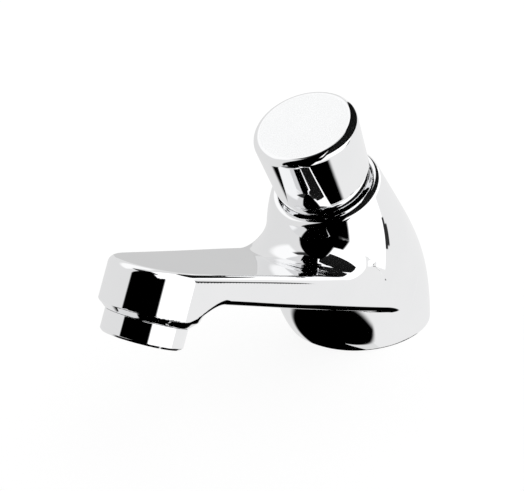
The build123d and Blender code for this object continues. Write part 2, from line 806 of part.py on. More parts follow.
def perforated(disc, low, high, hole, pitch, field_r):
    """A disc with square holes wherever they fit inside a radius."""
    count = 2 * int(field_r / pitch) + 1
    punch = Pos(0, 0, (low + high) / 2) * Box(hole, hole, high - low + overrun)
    for spot in GridLocations(pitch, pitch, count, count):
        if spot.position.length + hole < field_r:
            disc -= spot * punch
    return disc


def inlet_strainer():
    """The perforated disc under the inlet's shoulder."""
    blank = rod(limiter_bore_r - seat_gap, limiter_top_z, inlet_shoulder_z)
    return inlet * perforated(
        blank, limiter_top_z, inlet_shoulder_z, strainer_hole, strainer_pitch, limiter_bore_r)


def flow_limiter():
    """The drilled disc that sets the flow, grooved for its seal."""
    middle_z = (limiter_low_z + limiter_top_z) / 2
    outer_r = limiter_bore_r - seat_gap
    groove_r = limiter_bore_r - limiter_groove_depth
    half = limiter_groove_height / 2
    return inlet * turned(
        (limiter_orifice_r, limiter_low_z), (outer_r, limiter_low_z), (outer_r, middle_z - half),
        (groove_r, middle_z - half), (groove_r, middle_z + half), (outer_r, middle_z + half),
        (outer_r, limiter_top_z), (limiter_orifice_r, limiter_top_z))


def limiter_oring():
    inner_r = limiter_bore_r - limiter_groove_depth + seat_gap
    outer_r = limiter_bore_r - seat_gap
    return inlet * sealing_ring(inner_r, outer_r, (limiter_low_z + limiter_top_z) / 2)


# Aerator

def aerator_ring():
    """The outlet collar: a plain ring below the nose and a thread up into it."""
    thread_r = aerator_bore_r - seat_gap
    return outlet * turned(
        (ring_lip_r, 0), (ring_r - ring_chamfer, 0), (ring_r, ring_chamfer), (ring_r, nose_h),
        (thread_r, nose_h), (thread_r, thread_top_h), (ring_bore_r, thread_top_h),
        (ring_bore_r, ring_lip_height), (ring_lip_r, ring_lip_height))


def aerator_gasket():
    outer_r = aerator_bore_r - seat_gap
    inner_r = aerator_bore_r - aerator_gasket_width
    return outlet * tube(outer_r, inner_r, thread_top_h, aerator_shoulder_h)


def aerator_core():
    """The insert: two steps for the screens and a plate with a ring of spray holes."""
    middle_r = core_bore_r - core_step
    top_r = middle_r - core_step
    insert = rod(ring_bore_r - seat_gap, grille_top_h, thread_top_h)
    insert -= rod(core_bore_r, grille_top_h - overrun, lower_screen_h)
    insert -= rod(middle_r, lower_screen_h, upper_screen_h)
    insert -= rod(top_r, upper_screen_h, spray_plate_h)
    plate_top_h = spray_plate_h + spray_plate_thickness
    insert -= rod(top_r, plate_top_h, thread_top_h + overrun)
    hole = rod(spray_hole_r, spray_plate_h - overrun, plate_top_h + overrun)
    for spot in PolarLocations(top_r - spray_hole_inset, spray_hole_count):
        insert -= spot * hole
    return outlet * insert


def aerator_screen(radius, top_h):
    """A screen pressed up against its step in the core."""
    low_h = top_h - screen_thickness
    blank = rod(radius - seat_gap, low_h, top_h)
    return outlet * perforated(
        blank, low_h, top_h, screen_hole, screen_pitch, radius)


def aerator_grille():
    """The honeycomb at the outlet, six-sided cells wherever they fit inside its rim."""
    field_r = ring_lip_r - grille_rim
    cell_flats = cell_pitch - cell_wall
    count = 2 * int(field_r / cell_pitch) + 3
    cell = extrude(RegularPolygon(cell_flats / 2, 6, major_radius=False), grille_thickness)
    disc = rod(ring_bore_r - seat_gap, ring_lip_height, grille_top_h)
    for spot in HexLocations(cell_pitch / 2, count, count):
        if spot.position.length + cell_flats / 2 < field_r:
            disc -= Pos(0, 0, ring_lip_height) * spot * cell
    return outlet * disc


nodes = {
    "body": body(),
    "push_button": push_button(),
    "aerator_ring": aerator_ring(),
    "stem": stem(),
    "stem_nut": stem_nut(),
    "bonnet": bonnet(),
    "wiper_ring": wiper_ring(),
    "stem_oring": stem_oring(),
    "bonnet_oring": bonnet_oring(),
    "timing_cylinder": timing_cylinder(),
    "cylinder_oring": cylinder_oring(),
    "floor_oring": floor_oring(),
    "piston": piston(),
    "cup_seal": cup_seal(),
    "timing_jet": timing_jet(),
    "return_spring": return_spring(),
    "seat_ring": seat_ring(),
    "seat_oring": seat_oring(),
    "valve_carrier": valve_carrier(),
    "valve_washer": valve_washer(),
    "valve_screw": valve_screw(),
    "inlet_strainer": inlet_strainer(),
    "flow_limiter": flow_limiter(),
    "limiter_oring": limiter_oring(),
    "base_gasket": gasket_ring(seat_gap),
    "aerator_gasket": aerator_gasket(),
    "aerator_core": aerator_core(),
    "aerator_screen_lower": aerator_screen(core_bore_r, lower_screen_h),
    "aerator_screen_upper": aerator_screen(core_bore_r - core_step, upper_screen_h),
    "aerator_grille": aerator_grille(),
}

os.makedirs("parts", exist_ok=True)
for name, solid in nodes.items():
    export_step(solid, f"parts/{name}.step")
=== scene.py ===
import json
import math
import bpy
import numpy as np
from mathutils import Matrix, Vector


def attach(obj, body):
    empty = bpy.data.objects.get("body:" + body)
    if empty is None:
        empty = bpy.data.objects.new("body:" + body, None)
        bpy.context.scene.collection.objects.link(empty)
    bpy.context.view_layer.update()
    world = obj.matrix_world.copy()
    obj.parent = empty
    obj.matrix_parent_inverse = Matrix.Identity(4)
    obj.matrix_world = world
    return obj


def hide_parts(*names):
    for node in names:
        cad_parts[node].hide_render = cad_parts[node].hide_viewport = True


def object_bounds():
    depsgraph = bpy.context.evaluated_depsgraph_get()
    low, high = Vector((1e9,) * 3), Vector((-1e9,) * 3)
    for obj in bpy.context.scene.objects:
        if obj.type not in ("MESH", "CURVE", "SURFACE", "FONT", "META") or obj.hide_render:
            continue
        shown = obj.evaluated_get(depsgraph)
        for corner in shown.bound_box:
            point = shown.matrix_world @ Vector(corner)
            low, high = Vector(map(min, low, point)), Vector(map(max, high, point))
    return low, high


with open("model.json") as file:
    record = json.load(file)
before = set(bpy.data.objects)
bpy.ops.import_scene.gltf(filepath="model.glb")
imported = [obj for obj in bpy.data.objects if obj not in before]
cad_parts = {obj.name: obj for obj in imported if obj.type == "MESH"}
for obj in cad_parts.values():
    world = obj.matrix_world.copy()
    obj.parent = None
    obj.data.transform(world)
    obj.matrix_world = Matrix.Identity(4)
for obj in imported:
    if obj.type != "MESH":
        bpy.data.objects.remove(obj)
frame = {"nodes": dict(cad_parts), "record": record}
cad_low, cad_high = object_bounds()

# Sizes are in metres. +Z is up and the spout points along -Y.
MM = 0.001
nodes = frame["nodes"]

# Axes of the button and of the outlet, as planes that lean about X
BUTTON_TILT = math.radians(28.8)
BUTTON_FOOT_Y = 6.6 * MM
OUTLET_TILT = math.radians(-25.9)
OUTLET_Y = -127.1 * MM
OUTLET_Z = 41.3 * MM

# Column: y, z, tilt, half width, half length and front exponent of its four sections
COLLAR_S = 72.3 * MM
COLLAR_R = 19.8 * MM
SECTIONS = (
    (0, 0, 0, 25.1 * MM, 30.8 * MM, 2.1),
    (-8 * MM, 21.7 * MM, math.radians(9.6), 25.2 * MM, 32.6 * MM, 2.4),
    (-22.6 * MM, 50 * MM, math.radians(19.2), 24.3 * MM, 24 * MM, 2.05),
    (BUTTON_FOOT_Y - COLLAR_S * math.sin(BUTTON_TILT), COLLAR_S * math.cos(BUTTON_TILT),
     BUTTON_TILT, COLLAR_R, COLLAR_R, 2),
)
SECTION_SHARES = (0, 0.33, 0.78, 1)    # where the sections lie along the column
SHARE_RANGE = (-0.15, 1.15)            # how far a place may lie past the first and last section
SHARE_STEP = 1e-4
SHARE_ROUNDS = 8

# Spout, along the outlet's axis (h) and back from it (q)
NOSE_R = 15.8 * MM
NOSE_FLARE = math.radians(6.5)
NOSE_H = 6.9 * MM
NOSE_CHAMFER = 2.7 * MM
ROOT_Q = 120 * MM
ROOT_HALF_WIDTH = 24.6 * MM
SIDE_SHARES = ((0.24, 0.352), (0.465, 0.705), (0.683, 0.932))
TOP_TIP_H = 22 * MM
TOP_MID = (28.8 * MM, 27.7 * MM)
TOP_ROOT_H = 39.7 * MM
UNDER_H = 14.9 * MM
UNDER_ROOT_H = 25.1 * MM
TOP_PAST_NOSE = 1 * MM
ARCH_ROUND = 7 * MM
SIDE_ROUND = 3 * MM
SIDE_ROUND_RUN = (2 * MM, 16 * MM)     # where it grows, back from the outlet's axis
NECK_ROUND = 9.5 * MM
NECK_FRONT = (0.3, 0.6)                # how far round to the front it grows
NECK_LEAN = -0.3          # cosine between the normals of the spout's top and the column's front
WELL_R = 17.3 * MM
WELL_FLOOR_S = 61.3 * MM

# What polishing leaves: soft edges, and a soft line where spout and column meet
TOP_EDGE = 2.2 * MM
SMALL_EDGE = 0.4 * MM
SIDE_BLEND = 1.5 * MM
COLLAR_EDGE = 1.5 * MM
SHARP = 0.01 * MM         # in place of a round of nothing

# How the even mesh is drawn onto the distance field
VOXEL = 0.45 * MM
SKIN_REACH = 1.2 * MM     # outer skin lies within this of the field, and faces the field's way
SKIN_FACING = 0.35
SKIN_ROUNDS = 3
SKIN_MOVE = 0.5 * MM
SLOPE_STEP = 0.02 * MM

# Camera, from the photograph
CAMERA_AZIMUTH = math.radians(36.5)
CAMERA_ELEVATION = math.radians(22.3)
CAMERA_DISTANCE = 418.4 * MM
CAMERA_TARGET = Vector((0, -65 * MM, 51.8 * MM))
FOCAL_PIXELS = 1242
PHOTO_WIDTH, PHOTO_HEIGHT = 524, 491
CENTRE_PIXEL = (263, 245)


# Shape of the body as a distance field

def ease(value, limits):
    """A smooth step from 0 at the first limit to 1 at the second."""
    low, high = limits
    share = np.clip((value - low) / (high - low), 0, 1)
    return share * share * (3 - 2 * share)


def tilted(points, y, z, tilt):
    """Points in a plane's frame: x, the way that the plane's own Y points, and the height."""
    c, s = math.cos(tilt), math.sin(tilt)
    dy, dz = points[:, 1] - y, points[:, 2] - z
    return points[:, 0], dy * c + dz * s, -dy * s + dz * c


def meet(a, b, r):
    """Where both fields are inside, with the edge rounded."""
    return np.minimum(-r, np.maximum(a, b)) + np.hypot(np.maximum(a + r, 0), np.maximum(b + r, 0))


def join(a, b, r):
    """Where either field is inside, with the corner filled by a round."""
    return -meet(-a, -b, r)


def fill(a, b, r, lean):
    """Where either field is inside, with a true round in a corner whose normals have that cosine."""
    da, db = a - r, b - r
    off = 1 - lean * lean
    reach = np.sqrt(np.maximum(da * da + db * db - 2 * lean * da * db, 0) / off)
    touched = (da - lean * db < 0) & (db - lean * da < 0)
    return np.where(touched, np.minimum(r - reach, np.minimum(a, b)), np.minimum(a, b))


def blend(a, b, reach):
    """Where either field is inside, with a soft line where the two nearly agree."""
    share = np.clip(0.5 + (b - a) / (2 * reach), 0, 1)
    return b + (a - b) * share - reach * share * (1 - share)


def section_mix(share, values):
    """A cubic through the column's four sections."""
    total = np.zeros_like(share)
    for i, own in enumerate(SECTION_SHARES):
        weight = np.ones_like(share)
        for j, other in enumerate(SECTION_SHARES):
            if j != i:
                weight *= (share - other) / (own - other)
        total += weight * values[i]
    return total


def column_field(points):
    """Distance to the leaning oval column, and how far a point is round to its front, 0 to 1."""
    y, z = points[:, 1], points[:, 2]
    mid_y, mid_z, tilt, half_width, half_length, exponent = zip(*SECTIONS)
    reach_y = [r * math.cos(a) for r, a in zip(half_length, tilt)]
    reach_z = [r * math.sin(a) for r, a in zip(half_length, tilt)]

    def miss(share):
        return (section_mix(share, reach_y) * (z - section_mix(share, mid_z))
                - section_mix(share, reach_z) * (y - section_mix(share, mid_y)))

    share = np.clip(z / SECTIONS[-1][1], 0, 1)
    for _ in range(SHARE_ROUNDS):
        now = miss(share)
        slope = (miss(share + SHARE_STEP) - now) / SHARE_STEP
        share = np.clip(share - now / slope, *SHARE_RANGE)
    long_y, long_z = section_mix(share, reach_y), section_mix(share, reach_z)
    length = np.hypot(long_y, long_z)
    along = ((y - section_mix(share, mid_y)) * long_y
             + (z - section_mix(share, mid_z)) * long_z) / length
    power = np.where(along < 0, section_mix(share, exponent), 2)
    width = section_mix(share, half_width)
    x = np.abs(points[:, 0])
    ratio = ((x / width) ** power + (np.abs(along) / length) ** power) ** (1 / power)
    reach = np.hypot(x, along)
    front = np.clip(-along / np.maximum(reach, MM), 0, 1)
    return reach * (1 - 1 / np.maximum(ratio, 1e-6)), front


def hermite_side():
    """Half widths of the spout at even steps from the nose to the root, for interpolation."""
    q = [-NOSE_R * math.sin(NOSE_FLARE)]
    w = [NOSE_R * math.cos(NOSE_FLARE)]
    for q_share, width_share in SIDE_SHARES:
        q.append(q_share * ROOT_Q)
        w.append(NOSE_R + width_share * (ROOT_HALF_WIDTH - NOSE_R))
    q.append(ROOT_Q)
    w.append(ROOT_HALF_WIDTH)
    q, w = np.array(q), np.array(w)
    # The first slope is the flare's and the last is 0, straight along the root
    count = len(q)
    matrix, right = np.zeros((count, count)), np.zeros(count)
    gap = np.diff(q)
    matrix[0, 0] = 1
    right[0] = math.tan(NOSE_FLARE)
    matrix[-1, -1] = 1
    for i in range(1, count - 1):
        matrix[i, i - 1] = 1 / gap[i - 1]
        matrix[i, i] = 2 * (1 / gap[i - 1] + 1 / gap[i])
        matrix[i, i + 1] = 1 / gap[i]
        right[i] = 3 * ((w[i] - w[i - 1]) / gap[i - 1] ** 2 + (w[i + 1] - w[i]) / gap[i] ** 2)
    slope = np.linalg.solve(matrix, right)
    return q, w, slope


SIDE_Q, SIDE_W, SIDE_SLOPE = hermite_side()


def side_half_width(q):
    """Half width and slope of the spout's side at q, a cubic through its points."""
    at = np.clip(q, SIDE_Q[0], SIDE_Q[-1])
    i = np.clip(np.searchsorted(SIDE_Q, at) - 1, 0, len(SIDE_Q) - 2)
    gap = SIDE_Q[i + 1] - SIDE_Q[i]
    t = (at - SIDE_Q[i]) / gap
    a, b, m, n = SIDE_W[i], SIDE_W[i + 1], SIDE_SLOPE[i] * gap, SIDE_SLOPE[i + 1] * gap
    width = (2 * t**3 - 3 * t**2 + 1) * a + (t**3 - 2 * t**2 + t) * m
    width += (3 * t**2 - 2 * t**3) * b + (t**3 - t**2) * n
    slope = ((6 * t**2 - 6 * t) * a + (3 * t**2 - 4 * t + 1) * m
             + (6 * t - 6 * t**2) * b + (3 * t**2 - 2 * t) * n) / gap
    return width, slope


def top_circle():
    """Centre and radius of the arc along the spout's top, in (q, h)."""
    tip_q = -NOSE_R - TOP_PAST_NOSE
    (ax, ay), (bx, by), (cx, cy) = (tip_q, TOP_TIP_H), TOP_MID, (ROOT_Q, TOP_ROOT_H)
    d = 2 * (ax * (by - cy) + bx * (cy - ay) + cx * (ay - by))
    aa, bb, cc = ax * ax + ay * ay, bx * bx + by * by, cx * cx + cy * cy
    u = (aa * (by - cy) + bb * (cy - ay) + cc * (ay - by)) / d
    v = (aa * (cx - bx) + bb * (ax - cx) + cc * (bx - ax)) / d
    return u, v, math.hypot(ax - u, ay - v)


TOP_U, TOP_V, TOP_R = top_circle()


def spout_field(points, column, front):
    """Distances to the flat spout with its round nose, without and with its round to the column."""
    x, q, h = tilted(points, OUTLET_Y, OUTLET_Z, OUTLET_TILT)
    reach = np.hypot(x, q)
    nose = reach - NOSE_R
    width, slope = side_half_width(q)
    side = (np.abs(x) - width) / np.hypot(1, slope)
    leave_q = -np.abs(x) * math.tan(NOSE_FLARE)
    plan = np.where(q < leave_q, nose, side)
    plan = np.maximum(plan, q - ROOT_Q)
    under_slope = (UNDER_ROOT_H - UNDER_H) / ROOT_Q
    under = (UNDER_H + under_slope * q - h) / math.hypot(1, under_slope)
    chamfer = (nose + NOSE_CHAMFER - (h - NOSE_H)) / math.sqrt(2)
    stub = meet(meet(nose, NOSE_H - h, 0), chamfer, SMALL_EDGE)
    low = join(under, stub, ARCH_ROUND)
    form = meet(plan, low, SIDE_ROUND * ease(q, SIDE_ROUND_RUN) + SHARP)
    # The arc's centre lies above the spout
    top = TOP_R - np.hypot(q - TOP_U, h - TOP_V)
    necked = fill(top, column, NECK_ROUND * ease(front, NECK_FRONT), NECK_LEAN * front)
    return meet(form, top, TOP_EDGE), meet(form, necked, TOP_EDGE)


def body_field(points):
    """Distance to the outer form of the body, with the well open at the collar."""
    column, front = column_field(points)
    x, y, s = tilted(points, BUTTON_FOOT_Y, 0, BUTTON_TILT)
    column = meet(column, s - COLLAR_S, COLLAR_EDGE)
    reach = SIDE_BLEND * (1 - front) + 2 * SHARP
    plain, necked = spout_field(points, column, front)
    form = np.minimum(blend(column, plain, reach), necked)
    well = np.maximum(np.hypot(x, y) - WELL_R, WELL_FLOOR_S - s)
    form = meet(form, -well, SMALL_EDGE)
    return meet(form, -points[:, 2], SMALL_EDGE)


# Meshes

def new_object(name, mesh, body):
    """Puts a mesh in the scene as a piece that rides on a body."""
    piece = bpy.data.objects.new(name, mesh)
    bpy.context.scene.collection.objects.link(piece)
    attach(piece, body)
    return piece


def gradient(points):
    """The outward direction of the body's field, with its own length."""
    sides = []
    for axis in np.eye(3) * SLOPE_STEP:
        rise = body_field(points + axis) - body_field(points - axis)
        sides.append(rise / (2 * SLOPE_STEP))
    return np.stack(sides, 1)


def remeshed(source, voxel):
    """An even mesh over the same closed surface as a CAD node."""
    work = bpy.data.objects.new("work", source.data.copy())
    bpy.context.scene.collection.objects.link(work)
    remesh = work.modifiers.new("even", "REMESH")
    remesh.mode = "VOXEL"
    remesh.voxel_size = voxel
    seen = work.evaluated_get(bpy.context.evaluated_depsgraph_get())
    mesh = bpy.data.meshes.new_from_object(seen)
    bpy.data.objects.remove(work)
    return mesh


def body_shell():
    """The chrome body: an even mesh whose outer skin is drawn onto the smooth field."""
    mesh = remeshed(nodes["body"], VOXEL)
    count = len(mesh.vertices)
    places = np.empty(count * 3)
    mesh.vertices.foreach_get("co", places)
    places = places.reshape(-1, 3)
    normals = np.empty(count * 3)
    mesh.vertices.foreach_get("normal", normals)
    normals = normals.reshape(-1, 3)
    near = np.flatnonzero(np.abs(body_field(places)) < SKIN_REACH)
    way = gradient(places[near])
    way /= np.linalg.norm(way, axis=1, keepdims=True)
    skin = near[(way * normals[near]).sum(1) > SKIN_FACING]
    for _ in range(SKIN_ROUNDS):
        slope = gradient(places[skin])
        size = (slope * slope).sum(1, keepdims=True)
        move = body_field(places[skin])[:, None] * slope / size
        places[skin] -= np.clip(move, -SKIN_MOVE, SKIN_MOVE)
    way = gradient(places[skin])
    places[skin] = np.clip(places[skin], cad_low, cad_high)
    mesh.vertices.foreach_set("co", places.ravel())
    mesh.update()
    mesh.polygons.foreach_set("use_smooth", [True] * len(mesh.polygons))
    smooth = np.empty(count * 3)
    mesh.vertices.foreach_get("normal", smooth)
    smooth = smooth.reshape(-1, 3)
    smooth[skin] = way / np.linalg.norm(way, axis=1, keepdims=True)
    mesh.normals_split_custom_set_from_vertices(smooth.tolist())
    return new_object("body_shell", mesh, "tap")


def rounded(corners, sweep=math.radians(7)):
    """Places and normals along a closed (radius, height) profile, from corners and their rounds."""
    places, normals = [], []
    count = len(corners)
    for i, (r, s, round_r) in enumerate(corners):
        here = Vector((r, s))
        before = (here - Vector(corners[i - 1][:2])).normalized()
        after = (Vector(corners[(i + 1) % count][:2]) - here).normalized()
        turn = before.angle_signed(after)
        # A profile that runs with the solid on its left has its outside on the right
        out_before = Vector((before.y, -before.x))
        out_after = Vector((after.y, -after.x))
        if r == 0:
            places.append(here)
            normals.append(Vector((0, math.copysign(1, (out_before + out_after).y))))
            continue
        back = round_r * math.tan(abs(turn) / 2)
        start = here - before * back
        side = 1 if turn < 0 else -1
        centre = start - out_before * round_r * side
        steps = max(2, math.ceil(abs(turn) / sweep))
        for k in range(steps + 1):
            angle = -turn * k / steps
            normal = Matrix.Rotation(angle, 2) @ out_before
            places.append(centre + normal * round_r * side)
            normals.append(normal)
    return places, normals


def lathe(name, corners, foot, tilt, body, around=160):
    """A closed profile turned about a leaning axis, with exact normals."""
    places, normals = rounded(corners)
    mesh = bpy.data.meshes.new(name)
    turn = Matrix.Translation(foot) @ Matrix.Rotation(tilt, 4, "X")
    verts, ways, rings = [], [], []
    for place, normal in zip(places, normals):
        if place.x < 1e-9:
            rings.append([len(verts)] * around)
            verts.append(turn @ Vector((0, 0, place.y)))
            ways.append(turn.to_3x3() @ Vector((0, 0, normal.y)))
            continue
        ring = []
        for k in range(around):
            c, s = math.cos(2 * math.pi * k / around), math.sin(2 * math.pi * k / around)
            ring.append(len(verts))
            verts.append(turn @ Vector((place.x * c, place.x * s, place.y)))
            ways.append(turn.to_3x3() @ Vector((normal.x * c, normal.x * s, normal.y)))
        rings.append(ring)
    faces = []
    for i, low in enumerate(rings):
        high = rings[(i + 1) % len(rings)]
        for k in range(around):
            n = (k + 1) % around
            corner = []
            for v in (low[k], low[n], high[n], high[k]):
                if v not in corner:
                    corner.append(v)
            if len(corner) > 2:
                faces.append(corner)
    mesh.from_pydata(verts, [], faces)
    mesh.polygons.foreach_set("use_smooth", [True] * len(mesh.polygons))
    mesh.update()
    mesh.normals_split_custom_set_from_vertices([tuple(w) for w in ways])
    return new_object(name, mesh, body)


# Button and outlet ring

BUTTON_TOP_S = 100.6 * MM
RIM_R = 18.6 * MM
RIM_ROUND = 2.7 * MM
DISC_R = RIM_R - RIM_ROUND
CREASE_S = 77.7 * MM
CREASE_R = 17.4 * MM
BAND_R = 16.5 * MM
SKIRT_S = 69 * MM
STEM_R = 3.05 * MM
STEM_TOP_S = 91 * MM
BUTTON_WAY = Vector((0, -math.sin(BUTTON_TILT), math.cos(BUTTON_TILT)))
FINE = 0.15 * MM
FACET = 0.3 * MM

BUTTON_CORNERS = (
    (0, BUTTON_TOP_S, 0),
    (0, STEM_TOP_S, 0),
    (STEM_R, STEM_TOP_S, FINE),
    (STEM_R, 80 * MM, FINE),
    (6 * MM, 80 * MM, FINE),
    (6 * MM, 97.6 * MM, FACET),
    (15.6 * MM, 97.6 * MM, FACET),
    (15.6 * MM, 78.7 * MM, FACET),
    (14.6 * MM, CREASE_S, FACET),
    (14.6 * MM, SKIRT_S, FINE),
    (16.4 * MM, SKIRT_S, FINE),
    (BAND_R, COLLAR_S, 10 * MM),
    (CREASE_R, CREASE_S, FACET),
    (17.95 * MM, 88 * MM, 400 * MM),
    (RIM_R, BUTTON_TOP_S, RIM_ROUND),
)

RING_CORNERS = (
    (9.9 * MM, 0, FINE),
    (12.3 * MM, 0, FINE),
    (13 * MM, 0.7 * MM, FACET),
    (13 * MM, NOSE_H, FINE),
    (11.95 * MM, NOSE_H, FINE),
    (11.95 * MM, 12.6 * MM, FINE),
    (10.6 * MM, 12.6 * MM, FINE),
    (10.6 * MM, MM, FINE),
    (9.9 * MM, MM, FINE),
)


def satin_disc(piece):
    """Gives the flat top its own finish, inside the polished rim."""
    top = Vector((0, BUTTON_FOOT_Y, 0)) + BUTTON_WAY * BUTTON_TOP_S
    for face in piece.data.polygons:
        off = face.center - top
        if abs(off.dot(BUTTON_WAY)) < SHARP and off.length < DISC_R:
            face.material_index = 1


# Materials

class Nodes:
    """Short calls for building a node tree."""

    def __init__(self, owner):
        owner.use_nodes = True
        self.tree = owner.node_tree
        self.tree.nodes.clear()

    def add(self, kind, **settings):
        node = self.tree.nodes.new(kind)
        for key, value in settings.items():
            setattr(node, key, value)
        return node

    def link(self, source, target):
        self.tree.links.new(source, target)

    def feed(self, socket, value):
        if hasattr(value, "is_linked"):
            self.link(value, socket)
        else:
            socket.default_value = value

    def math(self, operation, a, b=0.0):
        node = self.add("ShaderNodeMath", operation=operation)
        self.feed(node.inputs[0], a)
        self.feed(node.inputs[1], b)
        return node.outputs[0]

    def step(self, value, low, high):
        """A smooth step from 0 at low to 1 at high."""
        node = self.add("ShaderNodeMapRange", interpolation_type="SMOOTHSTEP")
        self.feed(node.inputs["Value"], value)
        self.feed(node.inputs["From Min"], low)
        self.feed(node.inputs["From Max"], high)
        return node.outputs["Result"]

    def spread(self, value, low, high, to_low, to_high):
        """A value carried from one range to another, held at its ends."""
        node = self.add("ShaderNodeMapRange")
        self.feed(node.inputs["Value"], value)
        self.feed(node.inputs["From Min"], low)
        self.feed(node.inputs["From Max"], high)
        self.feed(node.inputs["To Min"], to_low)
        self.feed(node.inputs["To Max"], to_high)
        return node.outputs["Result"]

    def mix(self, share, a, b):
        node = self.add("ShaderNodeMix", data_type="FLOAT")
        self.feed(node.inputs[0], share)
        self.feed(node.inputs[2], a)
        self.feed(node.inputs[3], b)
        return node.outputs[0]

    def colours(self, share, dark, light):
        node = self.add("ShaderNodeMix", data_type="RGBA")
        self.feed(node.inputs[0], share)
        self.feed(node.inputs[6], (*dark, 1))
        self.feed(node.inputs[7], (*light, 1))
        return node.outputs[2]

    def place(self):
        return self.add("ShaderNodeTexCoord").outputs["Object"]

    def stretched(self, scale):
        """Object places scaled apart along each axis."""
        node = self.add("ShaderNodeMapping")
        self.link(self.place(), node.inputs["Vector"])
        node.inputs["Scale"].default_value = scale
        return node.outputs["Vector"]

    def noise(self, vector, scale, detail=2.0, roughness=0.5):
        node = self.add("ShaderNodeTexNoise")
        self.link(vector, node.inputs["Vector"])
        node.inputs["Scale"].default_value = scale
        node.inputs["Detail"].default_value = detail
        node.inputs["Roughness"].default_value = roughness
        return node.outputs["Fac"]

    def bump(self, height, depth):
        node = self.add("ShaderNodeBump")
        node.inputs["Strength"].default_value = 1.0
        node.inputs["Distance"].default_value = depth
        self.link(height, node.inputs["Height"])
        return node.outputs["Normal"]

    def surface(self, colour, roughness, normal=None, **sockets):
        shader = self.add("ShaderNodeBsdfPrincipled")
        self.feed(shader.inputs["Base Color"], colour)
        self.feed(shader.inputs["Roughness"], roughness)
        if normal is not None:
            self.link(normal, shader.inputs["Normal"])
        for key, value in sockets.items():
            shader.inputs[key.replace("_", " ")].default_value = value
        output = self.add("ShaderNodeOutputMaterial")
        self.link(shader.outputs[0], output.inputs["Surface"])


def chrome():
    """Polished plating: bright, with a faint waviness and finer polishing marks."""
    made = bpy.data.materials.new("chrome")
    n = Nodes(made)
    cloud = n.noise(n.place(), 60, 3)
    marks = n.noise(n.place(), 900, 4)
    colour = n.colours(cloud, (0.90, 0.905, 0.915), (0.95, 0.95, 0.955))
    roughness = n.spread(marks, 0.35, 0.65, 0.015, 0.035)
    n.surface(colour, roughness, n.bump(cloud, 0.012 * MM), Metallic=1.0)
    return made


def satin_chrome():
    """The fine matt face of the button's top."""
    made = bpy.data.materials.new("satin_chrome")
    n = Nodes(made)
    grain = n.noise(n.place(), 2600, 3)
    cloud = n.noise(n.place(), 90, 2)
    colour = n.colours(cloud, (0.90, 0.905, 0.91), (0.94, 0.945, 0.95))
    roughness = n.spread(grain, 0.3, 0.7, 0.2, 0.3)
    n.surface(colour, roughness, n.bump(grain, 0.004 * MM), Metallic=1.0)
    return made


def bare_brass():
    """Turned brass, with rings round the piece's axis."""
    made = bpy.data.materials.new("bare_brass")
    n = Nodes(made)
    rings = n.noise(n.stretched((1, 1, 14)), 500, 3)
    colour = n.colours(n.noise(n.place(), 120, 3), (0.60, 0.42, 0.18), (0.76, 0.58, 0.30))
    n.surface(colour, n.spread(rings, 0.3, 0.7, 0.2, 0.36), n.bump(rings, 0.01 * MM), Metallic=1.0)
    return made


def stainless():
    """Drawn steel wire and sheet."""
    made = bpy.data.materials.new("stainless")
    n = Nodes(made)
    grain = n.noise(n.stretched((1, 1, 20)), 700, 3)
    colour = n.colours(grain, (0.52, 0.52, 0.53), (0.66, 0.66, 0.67))
    n.surface(colour, n.spread(grain, 0.3, 0.7, 0.16, 0.3), n.bump(grain, 0.008 * MM), Metallic=1.0)
    return made


def rubber():
    """Dull black rubber."""
    made = bpy.data.materials.new("seal_rubber")
    n = Nodes(made)
    grain = n.noise(n.place(), 1500, 4)
    colour = n.colours(grain, (0.012, 0.012, 0.013), (0.035, 0.035, 0.037))
    n.surface(colour, n.spread(grain, 0.3, 0.7, 0.5, 0.68), n.bump(grain, 0.03 * MM))
    return made


def plastic(name, dark, light):
    """Moulded plastic between two close tones."""
    made = bpy.data.materials.new(name)
    n = Nodes(made)
    grain = n.noise(n.place(), 1100, 3)
    colour = n.colours(n.noise(n.place(), 140, 2), dark, light)
    n.surface(colour, n.spread(grain, 0.3, 0.7, 0.34, 0.46), n.bump(grain, 0.015 * MM))
    return made


def assign(piece, *materials):
    """Gives a piece these materials and no others."""
    piece.data.materials.clear()
    for material in materials:
        piece.data.materials.append(material)


# Stage: a white floor and room that only the camera sees, and the studio as a field of light

STAGE_R = 4
FLOOR_GLOW, FLOOR_TONE = 0.88, 0.14
ROOM_GLOW, ROOM_TONE = 1, 0.5


def glowing(name, glow, tone):
    """White that shines by itself, with a little shade where the tap stands on it."""
    made = bpy.data.materials.new(name)
    n = Nodes(made)
    cloud = n.noise(n.place(), 3, 2)
    colour = n.colours(cloud, (tone * 0.98,) * 3, (tone,) * 3)
    n.surface(colour, 0.9, Emission_Color=(1, 1, 1, 1), Emission_Strength=glow)
    return made


